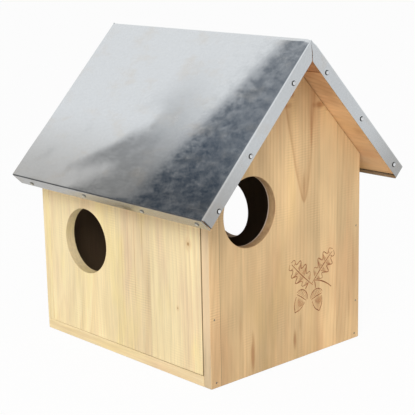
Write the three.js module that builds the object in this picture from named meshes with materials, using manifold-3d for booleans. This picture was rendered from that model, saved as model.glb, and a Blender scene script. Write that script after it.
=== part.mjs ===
// Wooden squirrel box with a folded sheet-metal roof. Millimetres, +Z up.
// The gable with the entrance hole faces -Y, and the swinging side panel faces -X.
// The origin is the middle of the bottom board's underside.
import * as THREE from "three";
import { mergeVertices } from "three/addons/utils/BufferGeometryUtils.js";
import Module from "manifold-3d";

const wasm = await Module();
wasm.setup();

// Box
const boxWidth = 236;
const boxLength = 292;
const wallHeight = 220;
const boardThickness = 12;
const boardChamfer = 0.5;

// Entrance holes
const entranceRadius = 38;
const gableHoleFromEdge = 60;
const gableHoleHeight = 182;
const sideHoleFromBack = 82;
const sideHoleHeight = 124;

// Roof
const roofPitch = 46;
const roofPlankThickness = 12;
const ridgePlankWidthRight = 38;
const ridgePlankWidthLeft = 35;
const rightEaveOverhang = 35;
const frontOverhang = 35;
const sheetThickness = 0.6;
const frontFlangeDepth = 16;
const backFlangeDepth = 12;
const skirtDepth = 17;
const mitreSlitWidth = 0.9;
const mitreSlitBelowRidge = 4;

// Swinging side panel
const doorFrontClearance = 1.2;
const doorBackClearance = 0.3;
const doorBottomClearance = 0.8;
const doorTopClearance = 1.2;
const pivotBelowDoorTop = 15;
const stopNailHeight = 76;

// Seats and clearances
const seatGap = 0.3;
const ridgeSetBack = 0.6;
const nailClearance = 0.1;
const pivotClearance = 0.16;
const stopSlotClearance = 0.5;
const stopSeatClearance = 0.15;
const cutOverrun = 3;

// Nails. A head's sink is how far its top lies under the surface it is driven into.
const tack = { shankRadius: 0.9, headRadius: 2.5, headHeight: 1.4, length: 14, point: 2.4 };
const brad = { shankRadius: 0.75, headRadius: 1.1, headHeight: 1, length: 32, point: 2, sink: 0.4 };
const plankNail = { shankRadius: 0.9, headRadius: 2.4, headHeight: 1, length: 34, point: 2.4, sink: 0.3 };
const pivotNail = { shankRadius: 1.1, headRadius: 2.3, headHeight: 1.1, length: 34, point: 2.6 };
const stopNail = { shankRadius: 0.75, headRadius: 1.1, headHeight: 1, length: 19, point: 2, sink: 0.4 };
const bottomBradInset = 7.6;
const lowPanelBradHeight = 46;
const highPanelBradHeight = 136;
const floorBradFromEnd = 60;
const plankNailStagger = 2.6;

// Places along an edge, as shares of its length, measured from the front or from the ridge.
// A tack has a second share, of the skirt's or the front flange's depth.
const skirtTackShares = [[0.045, 0.57], [0.31, 0.7], [0.605, 0.54], [0.915, 0.69]];
const leftFlangeTackShares = [[0.218, 0.61], [0.62, 0.69], [0.91, 0.8]];
const rightFlangeTackShares = [[0.19, 0.61], [0.553, 0.51], [0.927, 0.55]];
const backTackDepthShare = 0.5;
const lowerPlankNailShares = [0.17, 0.62];
const ridgePlankNailShare = 0.5;

// Facets
const holeSegments = 64;
const nailSegments = 10;
const domeSteps = 3;

// Colours and finishes
const finishes = {
  paleWood: { color: 0xe9d3a0, roughness: 0.75, metalness: 0 },
  tanWood: { color: 0xcfae7c, roughness: 0.75, metalness: 0 },
  redWood: { color: 0xa8744c, roughness: 0.8, metalness: 0 },
  zincSheet: { color: 0x9aa3a8, roughness: 0.35, metalness: 0.9 },
  nailSteel: { color: 0xb8bcbf, roughness: 0.3, metalness: 1 },
};

// Values worked out from the sizes above
const half = 0.5;
const pitch = THREE.MathUtils.degToRad(roofPitch);
const sideX = boxWidth * half;
const endY = boxLength * half;
const innerX = sideX - boardThickness;
const innerY = endY - boardThickness;
const panelMidX = sideX - boardThickness * half;
const gableMidY = endY - boardThickness * half;
const gableApex = wallHeight + sideX * Math.tan(pitch);
const plankTopOffset = seatGap + roofPlankThickness;
const sheetInnerOffset = plankTopOffset + seatGap;
const sheetOuterOffset = sheetInnerOffset + sheetThickness;
const plankTopApex = gableApex + plankTopOffset / Math.cos(pitch);
const sheetInnerApex = gableApex + sheetInnerOffset / Math.cos(pitch);
const sheetOuterApex = gableApex + sheetOuterOffset / Math.cos(pitch);
const sheetFrontY = -endY - frontOverhang;
const sheetBackY = endY + seatGap + sheetThickness;
const plankFrontY = sheetFrontY + sheetThickness + seatGap;
const plankLength = endY - plankFrontY;
const doorTop = wallHeight - doorTopClearance;
const pivotHeight = doorTop - pivotBelowDoorTop;
const wallTopDown = sideX / Math.cos(pitch) + plankTopOffset * Math.tan(pitch);
const rightLowerStart = ridgeSetBack + ridgePlankWidthRight + seatGap;
const lowerPlankWidth = wallTopDown + rightEaveOverhang - rightLowerStart;

// The right planks run up over the upper end of the left ones, so the left slope starts lower
const squareEndRise = roofPlankThickness * Math.max(0, -Math.cos(pitch + pitch));
const leftPlankStart = (roofPlankThickness + seatGap + squareEndRise) / Math.sin(pitch + pitch);
const slopes = {
  left: makeSlope(-1, leftPlankStart, ridgePlankWidthLeft, leftFlangeTackShares),
  right: makeSlope(1, ridgeSetBack, ridgePlankWidthRight, rightFlangeTackShares),
};

function makeSlope(side, plankStart, ridgePlankWidth, flangeTackShares) {
  const down = new THREE.Vector3(side * Math.cos(pitch), 0, -Math.sin(pitch));
  const out = new THREE.Vector3(side * Math.sin(pitch), 0, Math.cos(pitch));
  const along = new THREE.Vector3().crossVectors(out, down);
  const lowerStart = plankStart + ridgePlankWidth + seatGap;
  const plankEnd = lowerStart + lowerPlankWidth;
  const skirtInner = plankEnd + seatGap;
  return {
    side, down, out, along, plankStart, ridgePlankWidth, lowerStart, plankEnd, skirtInner, flangeTackShares,
  };
}

// A point on a slope: down the plank tops from the ridge line, and above them
function onSlope(slope, down, above, y) {
  const ridge = new THREE.Vector3(0, y, plankTopApex);
  return ridge.addScaledVector(slope.down, down).addScaledVector(slope.out, above);
}

// Geometry to solid and back
function solid(geometry) {
  const bare = geometry.index ? geometry.toNonIndexed() : geometry.clone();
  for (const name of Object.keys(bare.attributes)) {
    if (name !== "position") {
      bare.deleteAttribute(name);
    }
  }
  const merged = mergeVertices(bare);
  const index = merged.index.array;
  const kept = [];
  for (let i = 0; i < index.length; i += 3) {
    const [a, b, c] = [index[i], index[i + 1], index[i + 2]];
    if (a !== b && b !== c && c !== a) {
      kept.push(a, b, c);
    }
  }
  const vertProperties = new Float32Array(merged.attributes.position.array);
  return new wasm.Manifold(new wasm.Mesh({ numProp: 3, vertProperties, triVerts: new Uint32Array(kept) }));
}

function geometryOf(body) {
  const mesh = body.getMesh();
  const geometry = new THREE.BufferGeometry();
  geometry.setAttribute("position", new THREE.BufferAttribute(mesh.vertProperties, 3));
  geometry.setIndex(new THREE.BufferAttribute(mesh.triVerts, 1));
  geometry.computeVertexNormals();
  return geometry;
}

const materials = Object.fromEntries(
  Object.entries(finishes).map(([name, finish]) => [name, new THREE.MeshStandardMaterial(finish)]),
);

// A named piece, placed by a matrix, with its nails' holes and other cuts taken out of it
function makePiece(name, blank, place, finish, cuts = []) {
  const back = place.clone().invert();
  let body = solid(blank);
  for (const cut of [...cuts, ...nailCuts(name)]) {
    body = body.subtract(solid(cut.clone().applyMatrix4(back)));
  }
  const mesh = new THREE.Mesh(geometryOf(body), materials[finish].clone());
  mesh.name = name;
  mesh.applyMatrix4(place);
  return mesh;
}

// Outlines and blanks
function outline(points) {
  return new THREE.Shape(points.map(([x, y]) => new THREE.Vector2(x, y)));
}

function rectangle(x0, y0, x1, y1) {
  return outline([[x0, y0], [x1, y0], [x1, y1], [x0, y1]]);
}

function circle(x, y, radius) {
  const path = new THREE.Path();
  path.absarc(x, y, radius, 0, Math.PI + Math.PI, true);
  return path;
}

function boardBlank(shape, thickness) {
  return new THREE.ExtrudeGeometry(shape, {
    depth: thickness - boardChamfer - boardChamfer,
    bevelEnabled: true,
    bevelThickness: boardChamfer,
    bevelSize: boardChamfer,
    bevelOffset: -boardChamfer,
    bevelSegments: 1,
    curveSegments: holeSegments * half,
  }).translate(0, 0, boardChamfer);
}

// Placements: an outline's own x, y and thickness directions in the box
const axisX = new THREE.Vector3(1, 0, 0);
const axisY = new THREE.Vector3(0, 1, 0);
const axisZ = new THREE.Vector3(0, 0, 1);

function placed(alongX, alongY, alongZ, position) {
  return new THREE.Matrix4().makeBasis(alongX, alongY, alongZ).setPosition(position);
}

function uprightAcross(y) {
  return placed(axisX, axisZ, axisY.clone().negate(), new THREE.Vector3(0, y, 0));
}

function uprightAlong(x) {
  return placed(axisY, axisZ, axisX, new THREE.Vector3(x, 0, 0));
}

// Nails: a list first, because each board is drilled for the nails that pass through it.
// The nails of the two slopes are staggered in the gable's thickness, so they pass each other.
const nails = [];

function addNail(name, kind, seat, direction, boards) {
  nails.push({ name, kind, seat, direction: direction.clone().normalize(), boards });
}

function nailPlace({ seat, direction }) {
  const turn = new THREE.Quaternion().setFromUnitVectors(axisY.clone().negate(), direction);
  return new THREE.Matrix4().makeRotationFromQuaternion(turn).setPosition(seat);
}

function lathe(points) {
  return new THREE.LatheGeometry(points.map(([r, y]) => new THREE.Vector2(r, y)), nailSegments);
}

function nailGeometry(kind) {
  const points = [[0, -kind.length], [kind.shankRadius, kind.point - kind.length], [kind.shankRadius, 0]];
  if (kind.sink) {
    points.push([kind.headRadius, 0], [kind.headRadius, kind.headHeight], [0, kind.headHeight]);
    return lathe(points);
  }
  for (let step = 0; step <= domeSteps; step++) {
    const angle = (step / domeSteps) * Math.PI * half;
    points.push([kind.headRadius * Math.cos(angle), kind.headHeight * Math.sin(angle)]);
  }
  points[points.length - 1][0] = 0;
  return lathe(points);
}

// The hole for a nail, with a counterbore where its head is sunk
function nailCut(nail) {
  const { kind } = nail;
  const clearance = kind === pivotNail ? pivotClearance : nailClearance;
  const radius = kind.shankRadius + clearance;
  const bottom = -kind.length - clearance;
  const points = [[0, bottom], [radius, bottom]];
  if (kind.sink) {
    const headRadius = kind.headRadius + clearance;
    points.push([radius, -clearance], [headRadius, -clearance], [headRadius, cutOverrun], [0, cutOverrun]);
  } else {
    points.push([radius, cutOverrun], [0, cutOverrun]);
  }
  return lathe(points).applyMatrix4(nailPlace(nail));
}

function nailCuts(board) {
  return nails.filter((nail) => nail.boards.includes(board)).map(nailCut);
}

// Where a nail's head seats: on the surface, or under it by its head and its sink
function seatOn(surface, kind, direction) {
  const inward = kind.sink ? kind.sink + kind.headHeight : -nailClearance;
  return surface.clone().addScaledVector(direction, inward);
}

function driveNail(name, kind, surface, direction, boards) {
  addNail(name, kind, seatOn(surface, kind, direction), direction, boards);
}

function nailThroughGables(name, kind, x, z, boards) {
  const front = new THREE.Vector3(x, -endY, z);
  const back = new THREE.Vector3(x, endY, z);
  driveNail(`${name}_front`, kind, front, axisY, ["front_gable", ...boards]);
  driveNail(`${name}_back`, kind, back, axisY.clone().negate(), ["back_gable", ...boards]);
}

// The front gable hangs over the end of the bottom board, and the back one stands on it
function listBottomBrads() {
  const bottomX = sideX - bottomBradInset;
  for (const [sideName, x] of [["left", -bottomX], ["right", bottomX]]) {
    const front = new THREE.Vector3(x, -endY, boardThickness * half);
    const under = new THREE.Vector3(x, gableMidY, 0);
    driveNail(`bottom_brad_${sideName}_front`, brad, front, axisY, ["front_gable", "bottom_board"]);
    driveNail(`bottom_brad_${sideName}_back`, brad, under, axisZ, ["back_gable", "bottom_board"]);
  }
}

function listCarcassNails() {
  listBottomBrads();
  nailThroughGables("panel_brad_low", brad, panelMidX, lowPanelBradHeight, ["side_panel_right"]);
  nailThroughGables("panel_brad_high", brad, panelMidX, highPanelBradHeight, ["side_panel_right"]);
  const floorBradY = innerY - floorBradFromEnd;
  for (const [end, y] of [["front", -floorBradY], ["back", floorBradY]]) {
    const under = new THREE.Vector3(panelMidX, y, 0);
    driveNail(`floor_brad_${end}`, brad, under, axisZ, ["bottom_board", "side_panel_right"]);
  }
}

function listDoorNails() {
  nailThroughGables("door_pivot_nail", pivotNail, -panelMidX, pivotHeight, ["side_panel_door"]);
  nailThroughGables("door_stop_nail", stopNail, -panelMidX, stopNailHeight, []);
}

function listPlankNails() {
  for (const [sideName, slope] of Object.entries(slopes)) {
    const inward = slope.out.clone().negate();
    const ridgeBoard = `roof_ridge_plank_${sideName}`;
    const lowerBoard = `roof_lower_plank_${sideName}`;
    const ridgeDown = slope.plankStart + slope.ridgePlankWidth * ridgePlankNailShare;
    for (const [end, middleY] of [["front", -gableMidY], ["back", gableMidY]]) {
      const y = middleY + slope.side * plankNailStagger;
      const gable = `${end}_gable`;
      const ridgeNail = `ridge_plank_nail_${sideName}_${end}`;
      driveNail(ridgeNail, plankNail, onSlope(slope, ridgeDown, 0, y), inward, [ridgeBoard, gable]);
      lowerPlankNailShares.forEach((share, i) => {
        const down = slope.lowerStart + lowerPlankWidth * share;
        const name = `lower_plank_nail_${sideName}_${end}_${i + 1}`;
        driveNail(name, plankNail, onSlope(slope, down, 0, y), inward, [lowerBoard, gable]);
      });
    }
  }
}

function listSheetTacks() {
  const sheetLift = sheetOuterOffset - plankTopOffset;
  for (const [sideName, slope] of Object.entries(slopes)) {
    const ridgeBoard = `roof_ridge_plank_${sideName}`;
    const lowerBoard = `roof_lower_plank_${sideName}`;
    const skirtFace = slope.skirtInner + sheetThickness;
    const upSlope = slope.down.clone().negate();
    skirtTackShares.forEach(([share, depthShare], i) => {
      const y = THREE.MathUtils.lerp(sheetFrontY, sheetBackY, share);
      const surface = onSlope(slope, skirtFace, sheetLift - skirtDepth * depthShare, y);
      driveNail(`skirt_tack_${sideName}_${i + 1}`, tack, surface, upSlope, ["roof_sheet", lowerBoard]);
    });
    slope.flangeTackShares.forEach(([share, depthShare], i) => {
      const down = skirtFace * share;
      const front = onSlope(slope, down, sheetLift - frontFlangeDepth * depthShare, sheetFrontY);
      const back = onSlope(slope, down, sheetLift - backFlangeDepth * backTackDepthShare, sheetBackY);
      const boards = ["roof_sheet", down > slope.lowerStart ? lowerBoard : ridgeBoard];
      driveNail(`front_tack_${sideName}_${i + 1}`, tack, front, axisY, boards);
      driveNail(`back_tack_${sideName}_${i + 1}`, tack, back, axisY.clone().negate(), boards);
    });
  }
}

// Boards
function gableOutline(foot) {
  return outline([[-sideX, foot], [sideX, foot], [sideX, wallHeight], [0, gableApex], [-sideX, wallHeight]]);
}

function makeFrontGable() {
  const shape = gableOutline(0);
  shape.holes.push(circle(-sideX + gableHoleFromEdge, gableHoleHeight, entranceRadius));
  return makePiece("front_gable", boardBlank(shape, boardThickness), uprightAcross(-innerY), "tanWood");
}

function makeBackGable() {
  const blank = boardBlank(gableOutline(boardThickness), boardThickness);
  return makePiece("back_gable", blank, uprightAcross(endY), "paleWood");
}

function makeBottomBoard() {
  const shape = rectangle(-sideX, -innerY, sideX, endY);
  return makePiece("bottom_board", boardBlank(shape, boardThickness), new THREE.Matrix4(), "paleWood");
}

function makeRightPanel() {
  const shape = rectangle(-innerY, boardThickness, innerY, wallHeight);
  shape.holes.push(circle(endY - sideHoleFromBack, sideHoleHeight, entranceRadius));
  return makePiece("side_panel_right", boardBlank(shape, boardThickness), uprightAlong(innerX), "paleWood");
}

// A stop nail's slot is open to the panel's inner face, so the panel can leave the nail as it swings out
function stopSlot(end) {
  const reach = stopNail.length - boardThickness + stopNail.sink + stopNail.headHeight + stopSlotClearance;
  const height = stopNail.shankRadius + stopSlotClearance;
  const outer = -panelMidX - stopNail.shankRadius - stopSeatClearance;
  const inner = -innerX + cutOverrun;
  const box = new THREE.BoxGeometry(inner - outer, reach + cutOverrun, height + height);
  const y = innerY - (reach - cutOverrun) * half;
  return box.translate((inner + outer) * half, end * y, stopNailHeight);
}

function makeDoor() {
  const shape = rectangle(-innerY + doorFrontClearance, boardThickness + doorBottomClearance,
    innerY - doorBackClearance, doorTop);
  shape.holes.push(circle(endY - sideHoleFromBack, sideHoleHeight, entranceRadius));
  const blank = boardBlank(shape, boardThickness);
  return makePiece("side_panel_door", blank, uprightAlong(-sideX), "paleWood", [stopSlot(-1), stopSlot(1)]);
}

function makePlank(name, slope, start, width) {
  const shape = rectangle(0, -plankLength * half, width, plankLength * half);
  const middleY = (endY + plankFrontY) * half;
  const corner = onSlope(slope, start, -roofPlankThickness, middleY);
  const place = placed(slope.down, slope.along, slope.out, corner);
  return makePiece(name, boardBlank(shape, roofPlankThickness), place, "redWood");
}

function makePlanks() {
  return Object.entries(slopes).flatMap(([sideName, slope]) => [
    makePlank(`roof_ridge_plank_${sideName}`, slope, slope.plankStart, slope.ridgePlankWidth),
    makePlank(`roof_lower_plank_${sideName}`, slope, slope.lowerStart, lowerPlankWidth),
  ]);
}

// Roof sheet: one sheet bent over the ridge, down over the eaves, and over the plank ends
function slopeXZ(slope, down, above) {
  const point = onSlope(slope, down, above, 0);
  return [point.x, point.z];
}

function sheetProfile() {
  const { left, right } = slopes;
  const inner = sheetInnerOffset - plankTopOffset;
  const outer = sheetOuterOffset - plankTopOffset;
  return outline([
    slopeXZ(left, left.skirtInner, outer - skirtDepth),
    slopeXZ(left, left.skirtInner, inner),
    [0, sheetInnerApex],
    slopeXZ(right, right.skirtInner, inner),
    slopeXZ(right, right.skirtInner, outer - skirtDepth),
    slopeXZ(right, right.skirtInner + sheetThickness, outer - skirtDepth),
    slopeXZ(right, right.skirtInner + sheetThickness, outer),
    [0, sheetOuterApex],
    slopeXZ(left, left.skirtInner + sheetThickness, outer),
    slopeXZ(left, left.skirtInner + sheetThickness, outer - skirtDepth),
  ]);
}

function flangeOutline(depth) {
  const { left, right } = slopes;
  const outer = sheetOuterOffset - plankTopOffset;
  return outline([
    slopeXZ(left, left.skirtInner + sheetThickness, outer - depth),
    [0, sheetOuterApex - depth / Math.cos(pitch)],
    slopeXZ(right, right.skirtInner + sheetThickness, outer - depth),
    slopeXZ(right, right.skirtInner + sheetThickness, outer),
    [0, sheetOuterApex],
    slopeXZ(left, left.skirtInner + sheetThickness, outer),
  ]);
}

function plainExtrusion(shape, from, to) {
  const geometry = new THREE.ExtrudeGeometry(shape, { depth: to - from, bevelEnabled: false });
  return geometry.translate(0, 0, from);
}

function makeRoofSheet() {
  const length = sheetBackY - sheetFrontY;
  const slitTop = sheetOuterApex - mitreSlitBelowRidge;
  const slitSide = mitreSlitWidth * half;
  const slit = rectangle(-slitSide, gableApex - frontFlangeDepth, slitSide, slitTop);
  const sheet = solid(plainExtrusion(sheetProfile(), 0, length))
    .add(solid(plainExtrusion(flangeOutline(backFlangeDepth), 0, sheetThickness)))
    .add(solid(plainExtrusion(flangeOutline(frontFlangeDepth), length - sheetThickness, length)))
    .subtract(solid(plainExtrusion(slit, -cutOverrun, sheetThickness + seatGap * half)))
    .subtract(solid(plainExtrusion(slit, length - sheetThickness - seatGap * half, length + cutOverrun)));
  return makePiece("roof_sheet", geometryOf(sheet), uprightAcross(sheetBackY), "zincSheet");
}

function makeNails() {
  return nails.map((nail) => {
    const mesh = new THREE.Mesh(nailGeometry(nail.kind), materials.nailSteel.clone());
    mesh.name = nail.name;
    mesh.applyMatrix4(nailPlace(nail));
    return mesh;
  });
}

listCarcassNails();
listDoorNails();
listPlankNails();
listSheetTacks();

const squirrelBox = new THREE.Group();
squirrelBox.add(makeFrontGable(), makeBackGable(), makeBottomBoard(), makeRightPanel(), makeDoor());
squirrelBox.add(...makePlanks(), makeRoofSheet(), ...makeNails());
squirrelBox.updateMatrixWorld(true);

export default squirrelBox;
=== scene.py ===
# Wooden squirrel box with a folded sheet-metal roof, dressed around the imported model. Metres, +Z up.
import math

import bpy
from mathutils import Matrix, Vector


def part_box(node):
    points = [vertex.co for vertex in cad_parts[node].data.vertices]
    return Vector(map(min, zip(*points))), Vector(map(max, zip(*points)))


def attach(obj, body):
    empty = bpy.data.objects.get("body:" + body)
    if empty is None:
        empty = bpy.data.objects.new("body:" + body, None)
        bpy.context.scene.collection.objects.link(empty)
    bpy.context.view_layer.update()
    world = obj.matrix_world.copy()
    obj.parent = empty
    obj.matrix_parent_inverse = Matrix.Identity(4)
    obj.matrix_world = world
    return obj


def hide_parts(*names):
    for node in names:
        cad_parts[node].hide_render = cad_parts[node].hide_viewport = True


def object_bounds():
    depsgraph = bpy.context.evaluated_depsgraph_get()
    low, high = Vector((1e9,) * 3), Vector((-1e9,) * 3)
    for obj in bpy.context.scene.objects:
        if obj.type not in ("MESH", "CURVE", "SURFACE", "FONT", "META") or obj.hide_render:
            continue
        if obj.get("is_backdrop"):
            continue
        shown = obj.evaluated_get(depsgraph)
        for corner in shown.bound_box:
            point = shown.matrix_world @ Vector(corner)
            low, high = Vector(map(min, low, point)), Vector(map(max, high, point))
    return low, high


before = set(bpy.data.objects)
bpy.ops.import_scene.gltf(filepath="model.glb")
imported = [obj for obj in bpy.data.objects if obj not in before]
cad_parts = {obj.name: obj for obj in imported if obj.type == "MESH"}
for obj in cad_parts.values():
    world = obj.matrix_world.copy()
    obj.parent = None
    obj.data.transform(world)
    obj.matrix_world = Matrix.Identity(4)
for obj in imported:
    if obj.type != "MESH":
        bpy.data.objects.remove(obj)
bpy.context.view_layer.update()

# Bottom board: a 12 mm softwood board, planed and left bare, with its long edges showing under the
# side panels. It is sawn to size, its arrises are sanded round, and the gables are nailed to its ends.
mm = 0.001
arris = 0.9 * mm
over = 4 * mm
sharp = math.radians(40)
AXES = {"x": Vector((1, 0, 0)), "y": Vector((0, 1, 0)), "z": Vector((0, 0, 1))}


def take(*pieces):
    """Leaves only these pieces selected, the last one active."""
    bpy.ops.object.select_all(action="DESELECT")
    for piece in pieces:
        piece.select_set(True)
        bpy.context.view_layer.objects.active = piece


def settle(piece):
    """Puts a piece's place, turn and scale into its mesh."""
    take(piece)
    bpy.ops.object.transform_apply(location=True, rotation=True, scale=True)


def finish_with(piece, kind, **settings):
    """Adds a modifier and applies it."""
    take(piece)
    modifier = piece.modifiers.new(kind.lower(), kind)
    for name, value in settings.items():
        setattr(modifier, name, value)
    bpy.ops.object.modifier_apply(modifier=modifier.name)


def sawn_block(name, low, high):
    """A block between two corners."""
    bpy.ops.object.select_all(action="DESELECT")
    low, high = Vector(low), Vector(high)
    bpy.ops.mesh.primitive_cube_add(size=1, location=(low + high) / 2)
    block = bpy.context.active_object
    block.name = name
    block.scale = high - low
    settle(block)
    return block


def drill_bit(radius, start, end, sides=128):
    """A round bar between two points, to cut a hole with."""
    bpy.ops.object.select_all(action="DESELECT")
    start, end = Vector(start), Vector(end)
    bpy.ops.mesh.primitive_cylinder_add(vertices=sides, radius=radius, depth=(end - start).length)
    bit = bpy.context.active_object
    bit.rotation_euler = (end - start).to_track_quat("Z", "Y").to_euler()
    bit.location = (start + end) / 2
    settle(bit)
    return bit


def cut_out(piece, cutters):
    """Cuts the cutters out of a piece, one at a time, and throws them away."""
    for cutter in cutters:
        finish_with(piece, "BOOLEAN", operation="DIFFERENCE", solver="EXACT", object=cutter)
        bpy.data.objects.remove(cutter)


def brad_holes(nodes, direction, over_head=0.1 * mm, depth=6 * mm):
    """Round cutters for sunk heads: a little wider than each node's head, from outside inwards."""
    head_sides = 24
    bits = []
    away = Vector(direction)
    for node in nodes:
        low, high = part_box(node)
        middle = (low + high) / 2
        head_radius = min(high - low) / 2
        outer = max(low.dot(away), high.dot(away))
        flat = middle - away * middle.dot(away)
        inner_end = flat + away * (outer - depth)
        outer_end = flat + away * (outer + over)
        bits.append(drill_bit(head_radius + over_head, inner_end, outer_end, head_sides))
    return bits


def round_arrises(piece, width=arris):
    """Sands the sharp edges round."""
    finish_with(piece, "BEVEL", width=width, segments=3, limit_method="ANGLE", angle_limit=sharp)


def fit(piece, body, slot, *nodes):
    """A finished piece is shaded smooth, moves with its body and stands for its nodes."""
    take(piece)
    bpy.ops.object.shade_smooth_by_angle(angle=sharp)
    finish_with(piece, "WEIGHTED_NORMAL", keep_sharp=True)
    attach(piece, body)
    if nodes:
        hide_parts(*nodes)


def tone(code):
    """A colour as it looks on screen, such as "#F2DEAF", as the shader's linear one."""
    parts = [int(code[i:i + 2], 16) / 255 for i in (1, 3, 5)]
    return tuple(c / 12.92 if c <= 0.04045 else ((c + 0.055) / 1.055) ** 2.4 for c in parts) + (1,)


class Signal:
    """A node's output. Sums, products and powers of signals add their own nodes."""

    def __init__(self, nodes, socket):
        self.nodes = nodes
        self.socket = socket

    def maths(self, operation, *values):
        return self.nodes.node("ShaderNodeMath", {"operation": operation}, dict(enumerate(values)))

    def __add__(self, other):
        return self.maths("ADD", self, other)

    __radd__ = __add__

    def __sub__(self, other):
        return self.maths("SUBTRACT", self, other)

    def __rsub__(self, other):
        return self.maths("SUBTRACT", other, self)

    def __mul__(self, other):
        return self.maths("MULTIPLY", self, other)

    __rmul__ = __mul__

    def __truediv__(self, other):
        return self.maths("DIVIDE", self, other)

    def __pow__(self, other):
        return self.maths("POWER", self, other)

    def __gt__(self, other):
        return self.maths("GREATER_THAN", self, other)

    def __abs__(self):
        return self.maths("ABSOLUTE", self)

    def fract(self):
        return self.maths("FRACT", self)

    def sine(self):
        return self.maths("SINE", self)

    def between(self, start, end):
        """0 at start, 1 at end, smooth in between."""
        inputs = {"Value": self, "From Min": start, "From Max": end}
        return self.nodes.node("ShaderNodeMapRange", {"interpolation_type": "SMOOTHSTEP"}, inputs)

    def dot(self, direction):
        """How far a place lies along a direction."""
        settings = {"operation": "DOT_PRODUCT"}
        return self.nodes.node("ShaderNodeVectorMath", settings, {0: self, 1: direction}, "Value")

    def scaled(self, factor):
        """A colour made lighter or darker."""
        return self.nodes.node("ShaderNodeVectorMath", {"operation": "SCALE"}, {0: self, "Scale": factor})


class Nodes:
    """A node tree that signals run through."""

    def __init__(self, tree):
        self.tree = tree

    def feed(self, socket, value):
        if isinstance(value, Signal):
            self.tree.links.new(value.socket, socket)
        else:
            socket.default_value = value

    def node(self, kind, settings=None, inputs=None, output=0):
        made = self.tree.nodes.new(kind)
        for name, value in (settings or {}).items():
            setattr(made, name, value)
        for name, value in (inputs or {}).items():
            self.feed(made.inputs[name], value)
        return Signal(self, made.outputs[output])

    def mix(self, share, first, second):
        """A colour between two."""
        inputs = {"Factor": share, 6: first, 7: second}
        return self.node("ShaderNodeMix", {"data_type": "RGBA"}, inputs, 2)


class Finish(Nodes):
    """A material, its Principled shader and the nodes that feed it."""

    def __init__(self, name, **constants):
        self.material = bpy.data.materials.new(name)
        self.material.use_nodes = True
        super().__init__(self.material.node_tree)
        self.shader = self.tree.nodes["Principled BSDF"]
        for socket, value in constants.items():
            self.shader.inputs[socket.replace("_", " ")].default_value = value
        self.body = Signal(self, self.shader.outputs[0])
        self.place = self.node("ShaderNodeTexCoord", output="Object")
        self.facing = self.node("ShaderNodeTexCoord", output="Normal")

    def noise(self, place, detail=2.0, roughness=0.5, distortion=0.0):
        """Noise from 0 to 1 with one blotch a unit of place."""
        inputs = {"Vector": place, "Scale": 1, "Detail": detail, "Roughness": roughness,
                  "Distortion": distortion}
        return self.node("ShaderNodeTexNoise", {}, inputs)

    def point(self, x, y, z=0.0):
        return self.node("ShaderNodeCombineXYZ", {}, {"X": x, "Y": y, "Z": z})

    def paint(self, **sockets):
        for socket, value in sockets.items():
            self.feed(self.shader.inputs[socket.replace("_", " ")], value)

    def bump(self, height, strength=1.0):
        inputs = {"Height": height, "Distance": 1, "Strength": strength}
        self.paint(Normal=self.node("ShaderNodeBump", {}, inputs))


glue_line = 0.5 * mm
ring_wander = 10 * mm
ring_flutter = 1.6 * mm
chatter_pitch = 2.9 * mm
bore_margin = 0.35 * mm
room_skin = 0.3 * mm
rim_highlight_width = 2 * mm
RIM_HIGHLIGHT_DEPTHS = (1.8 * mm, 2.6 * mm)


def staves(side, joints, pith_side, chatter):
    """What changes past each joint: lightness, the pith's place, blush, chatter and the glue lines."""
    light = 1.0
    rosy = 0.0
    line = 0.0
    for at, shift, lightness, rose, hatch, ink in joints:
        past = side > at
        pith_side = past * shift + pith_side
        light = past * lightness + light
        rosy = past * rose + rosy
        chatter = past * hatch + chatter
        line = (1 - (abs(side - at) / glue_line).between(0, 1)) * ink + line
    return light, pith_side, rosy, chatter, line


def round_knots(side, along, radius, knots):
    """The rings' radius, pushed out round each knot, and the knots' dark cores and halos."""
    core = 0.0
    halo = 0.0
    for at_side, at_along, size in knots:
        away = ((side - at_side) ** 2 + ((along - at_along) * 0.75) ** 2) ** 0.5
        beside = 1 - away.between(size * 0.6, size * 5)
        radius = radius + beside * beside * (size * 2.2)
        core = (1 - away.between(size * 0.5, size * 1.15)) + core
        halo = beside + halo
    return radius, core, halo


def resin_and_roof_shade(side, along, ragged, smears):
    """Dark smears with ragged rims: resin, and over the front gable's top a painted shade under the roof."""
    smear = 0.0
    for at_side, at_along, half_wide, half_long, strength in smears:
        away = ((abs(side - at_side) / half_wide) ** 2 + (abs(along - at_along) / half_long) ** 2) ** 0.5
        smear = (1 - (away + ragged * 1.1).between(0.2, 1.1)) * strength + smear
    return smear


def pointed_figure(side, along, flutter, ragged, flame):
    """Rings cut at a slant: two arms that spread upwards from a tip, darker between them."""
    tip_side, tip_along, left_arm, right_arm = flame
    arm_rise = 100 * mm
    arm_half_width = 3.2 * mm
    arm_inset = 0.8 * mm
    inner_width = 11 * mm
    sway = 3 * mm
    tip_blur = 6 * mm
    rim = 1 * mm
    rise = along.maths("MAXIMUM", along - tip_along, 0.0) / arm_rise
    aside = side - tip_side + flutter * sway
    past_right = aside - rise ** 0.5 * right_arm
    past_left = 0 - aside - rise ** 0.76 * left_arm
    bend = past_right.maths("MAXIMUM", past_right, past_left)
    above = (along - tip_along).between(-tip_blur, tip_blur)
    arms = 1 - (abs(bend + arm_inset) / arm_half_width).between(0.0, 1)
    inner = bend.between(-inner_width, -rim) - bend.between(-rim, rim)
    heart = (1 - rise.between(0.1, 0.5)) * (1 - bend.between(-rim, rim))
    return (arms * 0.38 + inner * 0.34 + heart * 0.3) * above * (0.75 + ragged * 1.2)


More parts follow.
